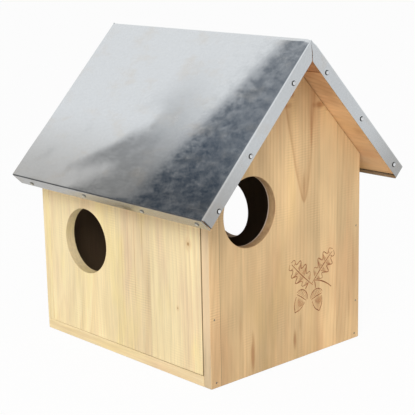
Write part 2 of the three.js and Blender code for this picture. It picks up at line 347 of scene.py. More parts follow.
def wood(name, grain, across, tones, pith, ring=4.2 * mm, rake=0.02, joints=(), knots=(), smears=(),
         bore=None, inside=None, flame=None, edge=None, figure=0.3, streaks=0.4, clouds=0.34,
         contrast=1.0, seed=0.0, chatter=1.0):
    """Bare softwood. Growth rings lie round a pith behind the board, staves meet at the joints.

    grain and across are directions, tones are (early wood, late wood, blush, honey), and pith is
    (across, deep). A joint is (across, shift of the pith, lightness, blush, chatter, darkness of its
    line): all but the last say how the board changes past it. A knot is (across, along, radius), a
    smear is (across, along, half width, half length, strength), a bore is (across, along, radius,
    share of scorch, share of a pale band painted at its back rim as a highlight), and inside is (deep,
    half width), the box's inner side, darkened and browned there as painted shade. A flame is a pointed
    figure, (across, along, spread of its left arm, of its right arm), and edge is (colour, share) of the
    sawn edges, which on the swinging panel is painted shade in the gap round it. Places and lengths are
    in metres, and places are the object's.
    """
    grain, across = Vector(grain), Vector(across)
    deep = grain.cross(across)
    finish = Finish(name, IOR=1.45)
    along = finish.place.dot(grain)
    side = finish.place.dot(across)
    depth = finish.place.dot(deep)

    light, pith_side, rosy, chatter, line = staves(side, joints, pith[0], chatter)
    wander = finish.noise(finish.point(side * 9 + seed, along * 3.5, depth * 9), 2) - 0.5
    flutter = finish.noise(finish.point(side * 45, along * 14 + seed, depth * 45), 2) - 0.5
    off_side = side - pith_side
    off_depth = depth - pith[1] + along * rake + wander * ring_wander
    radius = (off_side * off_side + off_depth * off_depth) ** 0.5 + flutter * ring_flutter
    radius, core, halo = round_knots(side, along, radius, knots)
    ragged = finish.noise(finish.point(side * 120 + seed, along * 30, depth * 120), 3) - 0.5
    smear = resin_and_roof_shade(side, along, ragged, smears)
    vein = pointed_figure(side, along, flutter, ragged, flame) if flame else 0.0
    drift = finish.noise(finish.point(side * 60, along * 6 + seed, depth * 60), 2)
    phase = radius / ring + drift * 0.7
    turn = phase.fract()
    late = turn.between(0.3, 0.88) * (1 - turn.between(0.9, 1.0))
    late = late * finish.noise(finish.point(side * 28, along * 2.5, depth * 28 + seed), 2).between(0.3, 0.72)

    fibre = finish.noise(finish.point(side * 900, along * 30 + seed, depth * 900), 4, 0.65)
    streak = finish.noise(finish.point(side * 300 + seed, along * 9, depth * 300), 4, 0.68)
    cloud = finish.noise(finish.point(side * 17, along * 4.5 + seed, depth * 17), 3)
    wet = finish.noise(finish.point(side * 34 + seed, along * 7, depth * 34 + 3), 3)
    gold = finish.noise(finish.point(side * 30 + 7, along * 9 + seed, depth * 30), 3)
    patch = finish.noise(finish.point(side * 34, along * 19, depth * 34 + seed), 3).between(0.46, 0.68)
    ends = abs(finish.facing.dot(grain)).between(0.6, 0.95)
    outer = 1 - abs(finish.facing.dot(deep)).between(0.2, 0.75)
    ripple = (along * (2 * math.pi / chatter_pitch) + cloud * 9).sine() * patch * (1 - outer)

    early, dark, blush, honey = (tone(code) for code in tones)
    scorch_and_shade = tone("#7E4A2E")
    rim_highlight_colour = tone("#F0DDCB")
    colour = finish.mix(late * figure, early, dark)
    colour = finish.mix(wet.between(0.45, 0.72) * 0.6 + rosy, colour, blush)
    colour = finish.mix(gold.between(0.5, 0.72) * 0.6, colour, honey)
    spots = finish.node("ShaderNodeClamp", {}, {"Value": halo * 0.4 + core * 0.6 + smear + vein * 0.75})
    colour = finish.mix(spots, colour, dark)
    texture = (fibre - 0.5) * 0.3 + (streak - 0.5) * streaks + (cloud - 0.5) * clouds
    shade = light + texture * contrast + ripple * chatter * 0.022
    shade = shade - line - ends * 0.1 - core * 0.25
    if bore:
        at_side, at_along, size, toasted, rim_highlight = bore
        wall = size + bore_margin
        rim_highlight_reach = size + rim_highlight_width
        away = ((side - at_side) ** 2 + (along - at_along) ** 2) ** 0.5
        cut = 1 - (away > wall)
        outer = outer * (1 - cut)
        colour = finish.mix(cut * toasted * (1 + (streak - 0.5) * 3.5), colour, scorch_and_shade)
    # Painted shade: the faces inside the box are darkened and browned.
    if inside:
        plane, half = inside
        painted_room_shade = abs(finish.facing.dot(deep)) * (1 - (abs(depth - plane) > room_skin))
        painted_room_shade = painted_room_shade * (1 - (abs(side) > half))
        colour = finish.mix(painted_room_shade * 0.7, colour, scorch_and_shade)
        shade = shade * (1 - painted_room_shade * 0.62)
        if bore:
            # Painted highlight: a pale band at the bore's back rim, where the arris catches light.
            painted_rim_highlight = (1 - (away > rim_highlight_reach)) * (1 - abs(depth - plane).between(*RIM_HIGHLIGHT_DEPTHS))
            colour = finish.mix(painted_rim_highlight * rim_highlight, colour, rim_highlight_colour)
    # edge colours the sawn edges; on the swinging panel its dark brown is painted shade in the gap.
    if edge:
        colour = finish.mix(outer * edge[1], colour, tone(edge[0]))
    finish.paint(Base_Color=colour.scaled(shade), Roughness=0.56 + fibre * 0.16 + ends * 0.1)
    height = (fibre * 0.012 + late * 0.03 + ripple * chatter * 0.012 - line * 0.2 - core * 0.04) * mm
    finish.bump(height, 0.8)
    return finish.material


bare_strip = 0.5 * mm
room_half_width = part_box("side_panel_right")[0].x - bare_strip
low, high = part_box("bottom_board")
board_thickness = high.z - low.z
bottom = sawn_block("bottom_board_sanded", low, high)
round_arrises(bottom)
cut_out(bottom, brad_holes([f"bottom_brad_{side}_back" for side in ("left", "right")]
                           + [f"floor_brad_{end}" for end in ("front", "back")], -AXES["z"]))
BOTTOM_TONES = ("#F5E0B4", "#D8B07B", "#EECDA8", "#F0D9A2")
bottom.data.materials.append(
    wood("bottom_board_wood", AXES["y"], AXES["x"], BOTTOM_TONES, (0.02, 0.05),
         inside=(-board_thickness, room_half_width), seed=3.0))
fit(bottom, "house", "pale_wood", "bottom_board")

# Gables: two 12 mm boards with the grain upright, sawn to the roof's pitch. The front one is nailed over
# the bottom's end and has the round entrance and an etched sprig, and the back one stands on the bottom.
pitch = math.radians(46)
entrance_radius = 38 * mm
gable_hole_from_edge = 60 * mm
gable_hole_height = 182 * mm
gable_arris = 1.2 * mm
tight_arris = 0.35 * mm


def gable(name, node, outward):
    """A gable board: a block with two corners sawn off along the slopes."""
    low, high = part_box(node)
    board = sawn_block(name, low, high)
    for side in (-1, 1):
        take(board)
        bpy.ops.object.mode_set(mode="EDIT")
        bpy.ops.mesh.select_all(action="SELECT")
        bpy.ops.mesh.bisect(plane_co=(0, 0, high.z), plane_no=(side * math.sin(pitch), 0, math.cos(pitch)),
                            use_fill=True, clear_outer=True)
        bpy.ops.object.mode_set(mode="OBJECT")
    end = "front" if outward.y < 0 else "back"
    kinds = ["panel_brad_low", "panel_brad_high", "door_stop_nail", "door_pivot_nail"]
    if end == "front":
        kinds += ["bottom_brad_left", "bottom_brad_right"]
    return board, brad_holes([f"{kind}_{end}" for kind in kinds], outward)


low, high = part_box("front_gable")
front, holes = gable("front_gable_sanded", "front_gable", -AXES["y"])
hole_x = low.x + gable_hole_from_edge
cut_out(front, [drill_bit(entrance_radius, (hole_x, low.y - over, gable_hole_height),
                          (hole_x, high.y + over, gable_hole_height))])
round_arrises(front, gable_arris)
cut_out(front, holes)
GABLE_TONES = ("#E8C694", "#B07A4A", "#DDB080", "#E0BE86")
GABLE_JOINTS = ((-0.1035, -0.03, -0.14, 0.0, -2.5, 0.5), (-0.071, 0.0, 0.115, 0.0, 0.0, 0.05),
                (-0.004, 0.08, 0.045, 0.0, 0.5, 0.04),
                (0.0505, 0.1, 0.115, 0.0, -1.0, 0.0), (0.0785, 0.05, -0.12, 0.0, 0.0, 0.14))
# The last smear is painted shade under the roof: the gable's top darker and browner.
GABLE_SMEARS = ((-0.0565, 0.022, 4 * mm, 26 * mm, 0.7), (0.0095, 0.023, 3.5 * mm, 14 * mm, 0.7),
                (0.018, 0.042, 2.5 * mm, 16 * mm, 0.3), (0.006, 0.301, 4 * mm, 6 * mm, 0.8),
                (-0.001, 0.288, 9 * mm, 4 * mm, 0.35),
                (0.05, 0.284, 12 * mm, 5 * mm, 0.7), (0.064, 0.277, 8 * mm, 3 * mm, 0.45),
                (0.036, 0.262, 2.5 * mm, 24 * mm, 0.4), (0.0245, 0.2, 2.5 * mm, 20 * mm, 0.35),
                (-0.0745, 0.05, 3 * mm, 30 * mm, 0.25), (0.1, 0.05, 2 * mm, 26 * mm, 0.3),
                (0.107, 0.1, 1.5 * mm, 30 * mm, 0.3), (0.018, 0.099, 12 * mm, 12 * mm, 0.26),
                (0.058, 0.1, 12 * mm, 13 * mm, 0.26), (0.016, 0.064, 8 * mm, 11 * mm, 0.3),
                (0.047, 0.06, 8 * mm, 11 * mm, 0.3), (0.02, 0.31, 70 * mm, 70 * mm, 0.22))
front.data.materials.append(
    wood("front_gable_wood", AXES["z"], AXES["x"], GABLE_TONES, (-0.16, -0.098), rake=0.12, ring=5.2 * mm,
         joints=GABLE_JOINTS, smears=GABLE_SMEARS,
         bore=(hole_x, gable_hole_height, entrance_radius, 0.36, 0.85),
         inside=(high.y, room_half_width), flame=(0.0245, 0.178, 0.027, 0.0165), edge=("#E4D4B4", 0.5),
         figure=0.25, streaks=0.5, clouds=2.2, contrast=0.6, chatter=4.5, seed=7.0))

# Etched sprig: two oak leaves and two acorns on a bent twig, drawn with a hot point low on the front
# gable. Every stroke is a shallow scorched groove cut in the board.
sprig_centre = Vector((0.0362, 0, 0.0815))
sprig_size = 1.2
stroke_radius = 0.6 * mm
stroke_proud = 0.12 * mm
strokes = bpy.data.curves.new("etched_strokes", "CURVE")
strokes.dimensions = "3D"
strokes.bevel_depth = stroke_radius
strokes.bevel_resolution = 1
strokes.use_fill_caps = True


def stroke(places, weight=1.0):
    """One line of the drawing, through places (right, up) in its own units, thinner at its ends."""
    spline = strokes.splines.new("POLY")
    spline.points.add(len(places) - 1)
    last = len(places) - 1
    for i, (point, (right_by, up_by)) in enumerate(zip(spline.points, places)):
        shift = Vector((right_by, 0, up_by)) * (sprig_size * mm)
        point.co = (*(sprig_centre + shift + AXES["y"] * (low.y - stroke_proud)), 1)
        point.radius = weight * (0.55 + 0.45 * math.sin(math.pi * i / last))


def laid(start, heading):
    """Turns (along, aside) into (right, up), along a heading in degrees from a start."""
    ahead, up = math.cos(math.radians(heading)), math.sin(math.radians(heading))
    return lambda along, aside: (start[0] + ahead * along - up * aside, start[1] + up * along + ahead * aside)


def slanted(put, root, near_by, far_by, side, weight, points=4):
    """A short line that leaves a leaf's rib at a slant."""
    steps = [near_by + (far_by - near_by) * i / (points - 1) for i in range(points)]
    stroke([put(root + 0.55 * (aside - near_by), side * aside + 0.5) for aside in steps], weight)


def oak_leaf(start, heading, length, half_width, lobes=4, hatches=5):
    put = laid(start, heading)

    def rim_at(t):
        full = math.sin(math.pi * t ** 0.75) ** 0.6
        return half_width * full * (0.72 - 0.28 * math.cos(2 * math.pi * lobes * t))

    stroke([put(-5 + (length * 0.92 + 5) * i / 12, 0.8 * math.sin(i / 4)) for i in range(13)], 1.1)
    steps = 12 * lobes
    shares = [0.05 + 0.92 * i / steps for i in range(steps + 1)]
    for side in (-1, 1):
        stroke([put(length * t + 0.3 * rim_at(t), side * rim_at(t) + 0.5) for t in shares])
        for k in range(lobes):
            t = (k + 0.5) / lobes
            reach = rim_at(t) - 1.5
            if reach < 2:
                continue
            root = length * (t - 0.07)
            slanted(put, root, 1.3, reach, side, 0.8, 5)
            for hatch in range(1, hatches + 1):
                far_by = min(rim_at(min(t + 0.028 * hatch, 0.97)) - 1.6, reach) * (1 - 0.13 * hatch)
                if far_by > 2.4:
                    slanted(put, root + 1.25 * hatch, 1.4, far_by, side, 0.55)


def acorn(start, heading, size):
    put = laid(start, heading)
    wide, tall = size * 0.52, size
    cup_wide, cup_tall = wide * 1.22, tall * 0.52
    arch = [math.radians(6 + 168 * i / 20) for i in range(21)]
    tips = [0.14 * math.exp(-((a - math.pi / 2) / 0.16) ** 2) for a in arch]
    stroke([put(tall * (math.sin(a) + tip) + 0.5, wide * math.cos(a)) for a, tip in zip(arch, tips)])
    cup = [math.radians(186 + 168 * i / 16) for i in range(17)]
    stroke([put(cup_tall * math.sin(a) - 0.9, cup_wide * math.cos(a)) for a in cup])
    stroke([put(-0.35 - 0.36 * math.sin(math.pi * i / 8), wide * 1.12 * (1 - i / 4)) for i in range(9)])
    stroke([put(-cup_tall - 2.0 - 1.1 * i, 0.35 * i * (1 - i / 9)) for i in range(8)], 1.2)
    for row in range(4):
        back_by = -2.1 - 1.25 * row
        half = cup_wide * math.sqrt(max(0, 1 - ((back_by + 0.9) / cup_tall) ** 2)) - 0.9
        count = max(2, round(half / 1.05))
        lap = half / count - 0.35
        for i in range(count):
            aside = -half + 2 * half * (i + 0.5) / count
            scale = [(0.4 * math.sin(math.pi * j / 4), lap * (j / 2 - 1)) for j in range(5)]
            stroke([put(back_by - dip, aside + across_by) for dip, across_by in scale], 0.55)
    for i in range(8):
        share = 0.8 - 0.17 * i
        far_by = tall * math.sqrt(1 - share * share) - 1.5 - 0.75 * i
        if far_by > 3:
            path = [j / 4 for j in range(5)]
            stroke([put(1.4 + (far_by - 1.4) * q, wide * share * (1 - 0.1 * q * q)) for q in path], 0.55)


oak_leaf((-1.5, 3.0), 138, 36, 10.5)
oak_leaf((4.5, 4.5), 42, 36, 10.5)
acorn((-13.5, -9.5), 236, 13)
acorn((7.5, -13.0), 283, 13)
stroke([(28 - 2.7 * i, -7.5 + 0.105 * i * (21 - i)) for i in range(10)], 1.3)
sprig = bpy.data.objects.new("etched_sprig", strokes)
bpy.context.scene.collection.objects.link(sprig)
take(sprig)
bpy.ops.object.convert(target="MESH")
scorched = Finish("scorched_wood", Roughness=0.8)
soot = scorched.noise(scorched.place.scaled(420), 3)
scorched.paint(Base_Color=scorched.mix(soot.between(0.35, 0.7), tone("#8A4A26"), tone("#B87646")))
scorched.bump(soot * (0.05 * mm))
sprig.data.materials.clear()
sprig.data.materials.append(scorched.material)
finish_with(front, "BOOLEAN", operation="DIFFERENCE", solver="EXACT", use_self=True,
            material_mode="TRANSFER", object=sprig)
bpy.data.objects.remove(sprig)
fit(front, "house", "tan_wood", "front_gable")

PALE = ("#F9E5B3", "#DFBB80", "#F0D3AC", "#F6E2A4")
back, holes = gable("back_gable_sanded", "back_gable", AXES["y"])
round_arrises(back, tight_arris)
cut_out(back, holes)
back_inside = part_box("back_gable")[0].y
back.data.materials.append(
    wood("back_gable_wood", AXES["z"], AXES["x"], PALE, (-0.03, 0.24), rake=0.05,
         joints=((-0.06, 0.04, -0.03, 0.0, 0.0, 0.1), (0.03, -0.05, 0.04, 0.0, 0.0, 0.1)),
         inside=(back_inside, room_half_width), seed=19.0))
fit(back, "house", "pale_wood", "back_gable")

# Right side panel: a 12 mm panel glued from upright staves, with a round entrance towards the back.
# It stands on the bottom board between the gables, and brads through these and the bottom hold it.
hole_from_back = 82 * mm
side_hole_height = 124 * mm
room_half_length = back_inside - bare_strip
low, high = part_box("side_panel_right")
house_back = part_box("back_gable")[1].y
hole_y = house_back - hole_from_back
right = sawn_block("side_panel_right_sanded", low, high)
cut_out(right, [drill_bit(entrance_radius, (low.x - over, hole_y, side_hole_height),
                          (high.x + over, hole_y, side_hole_height))])
round_arrises(right)
right.data.materials.append(
    wood("side_panel_right_wood", AXES["z"], AXES["y"], PALE, (0.01, -0.06), rake=0.03,
         joints=((-0.07, 0.05, -0.03, 0.1, 0.0, 0.08), (0.015, -0.06, 0.03, 0.0, 0.0, 0.1),
                 (0.09, 0.05, -0.02, 0.0, 0.0, 0.08)),
         bore=(hole_y, side_hole_height, entrance_radius, 0.7, 0.0), inside=(-low.x, room_half_length),
         seed=31.0))
fit(right, "house", "pale_wood", "side_panel_right")

# Swinging side panel: a panel like the right one, a little smaller than its opening so that a gap
# runs round it, darkened by painted shade on its sawn edges. It turns on two nails near its top and its
# slots close over the two stop nails.
DOOR_TONES = ("#FFEBBA", "#CFA36B", "#EECFAA", "#FBE6A2")
DOOR_JOINTS = ((-0.112, 0.03, -0.065, 0.05, 0.0, 0.0), (-0.051, -0.07, -0.042, 0.3, 1.0, 0.03),
               (-0.003, 0.05, 0.012, -0.3, -1.0, 0.06), (0.008, 0.03, 0.075, -0.05, 0.0, 0.02),
               (0.03, 0.02, 0.03, 0.0, 0.0, 0.0), (0.098, 0.06, 0.012, 0.0, 0.0, 0.0))
DOOR_SMEARS = ((-0.0135, 0.13, 0.9 * mm, 90 * mm, 0.3), (-0.0245, 0.125, 1.1 * mm, 80 * mm, 0.45),
               (-0.038, 0.15, 1.0 * mm, 70 * mm, 0.4), (-0.002, 0.1, 1.2 * mm, 90 * mm, 0.3),
               (-0.046, 0.09, 0.9 * mm, 60 * mm, 0.25), (-0.1, 0.17, 0.9 * mm, 40 * mm, 0.2))
door_out_of_square = 0.5 * mm
near = 0.02 * mm


def select_where(piece, kind, test):
    """Selects the vertices or edges whose every corner passes a test of its place."""
    take(piece)
    mesh = piece.data
    passed = [test(corner.co) for corner in mesh.vertices]
    for corner in mesh.vertices:
        corner.select = kind == "VERT" and passed[corner.index]
    for edge in mesh.edges:
        edge.select = kind == "EDGE" and all(passed[i] for i in edge.vertices)
    for face in mesh.polygons:
        face.select = False
    bpy.ops.object.mode_set(mode="EDIT")
    bpy.ops.mesh.select_mode(type=kind)


low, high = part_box("side_panel_door")
door = sawn_block("side_panel_door_sanded", low, high)
select_where(door, "VERT", lambda p: p.y > 0 and p.z < low.z + near)
bpy.ops.transform.translate(value=(0, 0, -door_out_of_square))
bpy.ops.object.mode_set(mode="OBJECT")
cut_out(door, [drill_bit(entrance_radius, (low.x - over, hole_y, side_hole_height),
                         (high.x + over, hole_y, side_hole_height))])
round_arrises(door, tight_arris)
pivot_clearance = 0.16 * mm
pivot_radius = 1.1 * mm
pivot_sides = 32
slot_clearance = 0.5 * mm
slot_seat = 0.15 * mm
stop_radius = 0.75 * mm
cutters = []
for end in (-1, 1):
    name = "front" if end < 0 else "back"
    nail_low, nail_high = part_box(f"door_pivot_nail_{name}")
    middle = (nail_low + nail_high) / 2
    tip = (nail_high.y if end < 0 else nail_low.y) - end * pivot_clearance
    outside = end * (high.y + over)
    cutters.append(drill_bit(pivot_radius + pivot_clearance, (middle.x, tip, middle.z),
                             (middle.x, outside, middle.z), pivot_sides))
    nail_low, nail_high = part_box(f"door_stop_nail_{name}")
    middle = (nail_low + nail_high) / 2
    tip = (nail_high.y if end < 0 else nail_low.y) - end * slot_clearance
    corners = [(middle.x - stop_radius - slot_seat, tip, middle.z - stop_radius - slot_clearance),
               (high.x + over, outside, middle.z + stop_radius + slot_clearance)]
    slot_low = [min(pair) for pair in zip(*corners)]
    slot_high = [max(pair) for pair in zip(*corners)]
    cutters.append(sawn_block("stop_slot", slot_low, slot_high))
cut_out(door, cutters)
# Its sawn edges are painted dark brown: painted shade in the gap round the panel.
door.data.materials.append(
    wood("side_panel_door_wood", AXES["z"], AXES["y"], DOOR_TONES, (-0.02, -0.05), rake=0.025,
         joints=DOOR_JOINTS, smears=DOOR_SMEARS,
         knots=((-0.114, 0.1535, 1.6 * mm), (-0.095, 0.079, 0.7 * mm)), edge=("#33291A", 0.52),
         bore=(hole_y, side_hole_height, entrance_radius, 0.0, 0.0), inside=(-high.x, room_half_length),
         chatter=1.5, seed=43.0))
fit(door, "door", "pale_wood", "side_panel_door")

# Roof planks: on each slope a narrow plank along the ridge and a wide one below it, 12 mm redder wood
# with the grain along the ridge, nailed down into both gables. Their undersides are the front soffit.
plank_thickness = 12 * mm
pith_step = 3 * mm
pith_depth = 160 * mm
RED = ("#E6BD8D", "#9C6339", "#D09463", "#DCB27E")
REDDER = ("#CC9B70", "#935A35", "#BC7F52", "#C9966A")


def plank(node, side, tones, seed, smears=(), **look):
    """A plank on a slope, from its node's box. Smears are given from its ridge side."""
    low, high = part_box(node)
    width = ((high.x - low.x) - plank_thickness * math.sin(pitch)) / math.cos(pitch)
    board = sawn_block(f"{node}_sanded", (0, low.y, 0), (width, high.y, plank_thickness))
    inner_x = low.x if side > 0 else high.x
    inner_z = high.z - plank_thickness * math.cos(pitch)
    turn = Matrix((
        (side * math.cos(pitch), 0, side * math.sin(pitch)),
        (0, 1, 0),
        (-math.sin(pitch), 0, math.cos(pitch)),
    )).to_4x4()
    board.matrix_world = Matrix.Translation((inner_x, 0, inner_z)) @ turn
    settle(board)
    if side < 0:
        bpy.ops.object.mode_set(mode="EDIT")
        bpy.ops.mesh.select_all(action="SELECT")
        bpy.ops.mesh.normals_make_consistent(inside=False)
        bpy.ops.object.mode_set(mode="OBJECT")
    round_arrises(board)
    down = Vector((side * math.cos(pitch), 0, -math.sin(pitch)))
    ridge_side = Vector((inner_x, 0, inner_z)).dot(down)
    smears = [(ridge_side + below, *rest) for below, *rest in smears]
    board.data.materials.append(
        wood(f"{node}_wood", AXES["y"], down, tones, (seed * pith_step, pith_depth), smears=smears,
             seed=seed, **look))
    fit(board, "house", "red_wood", node)


plank("roof_ridge_plank_left", -1, REDDER, 5.0)
plank("roof_lower_plank_left", -1, RED, 11.0)
plank("roof_ridge_plank_right", 1, REDDER, 17.0)
plank("roof_lower_plank_right", 1, RED, 23.0, rake=0.22, figure=0.3, streaks=0.25, clouds=0.9,
      smears=((0.012, -0.16, 45 * mm, 90 * mm, 0.2), (0.035, -0.165, 30 * mm, 12 * mm, 0.15),
              (0.1, -0.168, 8 * mm, 10 * mm, 0.3)))

# Brads and nails: thin bright nails with small flat heads, sunk under the surface of the gables and the
# bottom board, and two longer round-headed ones that the swinging panel turns on.
steel = Finish("nail_steel", Metallic=1.0)
grime = steel.noise(steel.place.scaled(900), 3)
steel.paint(Base_Color=steel.mix(grime.between(0.4, 0.7), tone("#8E8B86"), tone("#5E5A55")),
            Roughness=0.35 + grime * 0.25)
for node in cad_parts.values():
    if "nail" in node.name or "brad" in node.name:
        node.data.materials.clear()
        node.data.materials.append(steel.material)

# Roof sheet: one galvanised sheet folded over the ridge by hand, with skirts over the eaves and flanges
# over the plank ends. It isn't quite flat, and the flanges meet in an open mitre under the ridge.
sheet_low, sheet_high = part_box("roof_sheet")
sheet_thickness = 0.6 * mm
fold_radius = 1.3 * mm
ridge_radius = 2.2 * mm
skirt_depth = 17 * mm
front_flange_depth = 16 * mm
back_flange_depth = 12 * mm
cell = 5 * mm
border_rows = 4
bend_steps = 4
slit_half = 0.5 * mm
slit_below_ridge = 5 * mm
slit_lean = 1.6 * mm
slit_lean_below = 7 * mm
slit_lean_height = 2 * mm
slit_lean_reach = 8 * mm
ridge_knock = 1.1 * mm
ridge_knock_height = 1 * mm
ridge_knock_reach = 6 * mm
apex = Vector((0, 0, sheet_high.z))


def slope_of(side):
    """The directions down a slope and out of it."""
    return (Vector((side * math.cos(pitch), 0, -math.sin(pitch))),
            Vector((side * math.sin(pitch), 0, math.cos(pitch))))


def fold(piece, test, centre, axis, turn, away, depth):
    """Bends a border down round a fold's centre line, then carries it on in rows. Spin turns clockwise."""
    select_where(piece, "EDGE", test)
    bpy.ops.mesh.spin(steps=bend_steps, angle=-turn, center=centre, axis=axis)
    for _ in range(border_rows):
        step = away * ((depth - fold_radius) / border_rows)
        bpy.ops.mesh.extrude_region_move(TRANSFORM_OT_translate={"value": step})
    bpy.ops.object.mode_set(mode="OBJECT")


def half_sheet(side):
    """One slope of the sheet's outer surface with its skirt and flanges, cut off at the mitre."""
    down, out = slope_of(side)
    reach = (sheet_high.x if side > 0 else -sheet_low.x) / math.cos(pitch)
    length = reach - fold_radius
    front_y, back_y = sheet_low.y + fold_radius, sheet_high.y - fold_radius
    columns, rows = round(length / cell), round((back_y - front_y) / cell)
    bpy.ops.object.select_all(action="DESELECT")
    bpy.ops.mesh.primitive_grid_add(x_subdivisions=columns, y_subdivisions=rows, size=1)
    half = bpy.context.active_object
    half.scale = (length, back_y - front_y, 1)
    half.location = (length / 2, (front_y + back_y) / 2, 0)
    settle(half)
    lie = Matrix(((down.x, 0, out.x), (0, 1, 0), (down.z, 0, out.z))).to_4x4()
    half.matrix_world = Matrix.Translation(apex) @ lie
    settle(half)

    def flat(place):
        return abs((place - apex).dot(out)) < near

    turn = side * math.pi / 2
    eave = apex + down * length - out * fold_radius
    fold(half, lambda p: (p - apex).dot(down) > length - near, eave, AXES["y"], turn, -out, skirt_depth)
    front_line = apex + AXES["y"] * front_y - out * fold_radius
    fold(half, lambda p: p.y < front_y + near and flat(p), front_line, down, turn, -out, front_flange_depth)
    back_line = apex + AXES["y"] * back_y - out * fold_radius
    fold(half, lambda p: p.y > back_y - near and flat(p), back_line, down, -turn, -out, back_flange_depth)

    take(half)
    bpy.ops.object.mode_set(mode="EDIT")
    bpy.ops.mesh.select_all(action="SELECT")
    bpy.ops.mesh.bisect(plane_co=(0, 0, 0), plane_no=(-side, 0, 0), clear_outer=True)
    bpy.ops.object.mode_set(mode="OBJECT")
    select_where(half, "VERT", lambda p: abs(p.x) < near and p.z < apex.z - slit_below_ridge)
    bpy.ops.transform.translate(value=(side * slit_half, 0, 0))
    bpy.ops.object.mode_set(mode="OBJECT")
    return half


def near_line(start, end, reach):
    """A test for places within reach of a line between two places."""
    span = end - start

    def test(place):
        share = max(0, min(1, (place - start).dot(span) / span.length_squared))
        return (place - start - span * share).length < reach

    return test


def press(start, end, push, reach):
    """Pushes the sheet along a line, as a hand would, fading to nothing at its reach."""
    finger = cell * 0.6
    select_where(sheet, "VERT", near_line(start, end, finger))
    bpy.ops.transform.translate(value=push, use_proportional_edit=True, proportional_edit_falloff="SMOOTH",
                                proportional_size=reach)
    bpy.ops.object.mode_set(mode="OBJECT")


halves = [half_sheet(-1), half_sheet(1)]
take(*halves)
bpy.ops.object.join()
sheet = bpy.context.active_object
sheet.name = "roof_sheet_folded"
bpy.ops.object.mode_set(mode="EDIT")
bpy.ops.mesh.select_all(action="SELECT")
bpy.ops.mesh.remove_doubles(threshold=near)
bpy.ops.mesh.normals_make_consistent(inside=False)
bpy.ops.object.mode_set(mode="OBJECT")
select_where(sheet, "EDGE", lambda p: abs(p.x) < near and p.z > apex.z - near)
bpy.ops.mesh.bevel(offset=ridge_radius, segments=4, affect="EDGES")
bpy.ops.object.mode_set(mode="OBJECT")


def on_sheet(side, below, y):
    """A place on a slope's outer surface, below the ridge by a length down the slope."""
    return apex + slope_of(side)[0] * below + AXES["y"] * y


# Soft waves of the left slope: each runs from (below the ridge, y) to another, with its lift and reach.
WAVES = (
    ((138 * mm, -30 * mm), (190 * mm, 66 * mm), 0.19 * mm, 34 * mm),
    ((156 * mm, 4 * mm), (190 * mm, 66 * mm), 0.1 * mm, 26 * mm),
    ((200 * mm, -14 * mm), (220 * mm, 36 * mm), 0.1 * mm, 26 * mm),
    ((150 * mm, 80 * mm), (192 * mm, 140 * mm), 0.22 * mm, 26 * mm),
    ((205 * mm, 140 * mm), (225 * mm, 140 * mm), 0.4 * mm, 60 * mm),
)
left_outward = slope_of(-1)[1]
for start, end, lift, reach in WAVES:
    press(on_sheet(-1, *start), on_sheet(-1, *end), left_outward * lift, reach)

# The front end of the ridge is knocked down a little, and the mitre slit under it leans to the left.
ridge_front = Vector((0, sheet_low.y, apex.z))
slit_top = ridge_front - AXES["z"] * slit_lean_below
press(slit_top, slit_top - AXES["z"] * slit_lean_height, AXES["x"] * -slit_lean, slit_lean_reach)
knock_foot = ridge_front - AXES["z"] * ridge_knock_height
press(ridge_front, knock_foot, Vector((-ridge_knock / 2, 0, -ridge_knock)), ridge_knock_reach)
finish_with(sheet, "SOLIDIFY", thickness=sheet_thickness, offset=-1, use_even_offset=True)

# Zinc: fine spangle, cloudy mottle and broad stains, darker towards the eaves, partly weathering and
# partly a painted dark reflection. The eave folds are cracked and dark, the left skirt has a smudge, and
# painted shade darkens the fold's open end at the front corner.
# A range is (where a mark starts, where it is full), and one named END runs from full to nothing.
WEATHER_AND_REFLECTION = (120 * mm, 235 * mm)
weather_and_reflection_share = 0.34
SKIRT_RANGE = (1 * mm, 3 * mm)
CRACK_RANGE = (-0.2 * mm, 0.6 * mm)
CRACK_END = (0.5 * mm, 1.5 * mm)
smudge_y = -54 * mm
smudge_reach = 13 * mm
SMUDGE_RANGE = (5 * mm, 12 * mm)
SMUDGE_PAST_BEND = (-1 * mm, 0)
open_strip = 2.6 * mm
open_strip_full = 2 * mm
OPEN_END = (0.6 * mm, 1.2 * mm)
zinc = Finish("zinc_sheet")
flow = zinc.place.dot(AXES["y"])
across_x = zinc.place.dot(AXES["x"])
across_z = zinc.place.dot(AXES["z"])
spangle = zinc.noise(zinc.point(across_x * 420, flow * 300, across_z * 420), 4, 0.7)
mottle = zinc.noise(zinc.point(across_x * 105, flow * 62, across_z * 105), 6, 0.68)
stain = zinc.noise(zinc.point(across_x * 42 + 5, flow * 24, across_z * 42), 4, 0.6)
bloom = stain.between(0.4, 0.7) * 0.06 + mottle.between(0.34, 0.72) * 0.18 + spangle.between(0.44, 0.7) * 0.1
down_slope = abs(across_x) * math.cos(pitch) - (across_z - apex.z) * math.sin(pitch)
under_face = (apex.z - across_z) * math.cos(pitch) - abs(across_x) * math.sin(pitch)
left_bend, right_bend = (x / math.cos(pitch) - fold_radius for x in (-sheet_low.x, sheet_high.x))
past_bend = down_slope - left_bend - (across_x > 0) * (right_bend - left_bend)
crack = past_bend.between(*CRACK_RANGE) * (1 - under_face.between(*CRACK_END))
# Darker towards the eaves: weathering, and partly a painted dark reflection.
weather_and_reflection = down_slope.between(*WEATHER_AND_REFLECTION) * weather_and_reflection_share
skirts = under_face.between(*SKIRT_RANGE)
left_side = 1 - (across_x > 0)
smudge = (1 - (abs(flow - smudge_y) / smudge_reach).between(0.3, 1)) * under_face.between(*SMUDGE_RANGE)
smudge = smudge * left_side * past_bend.between(*SMUDGE_PAST_BEND)
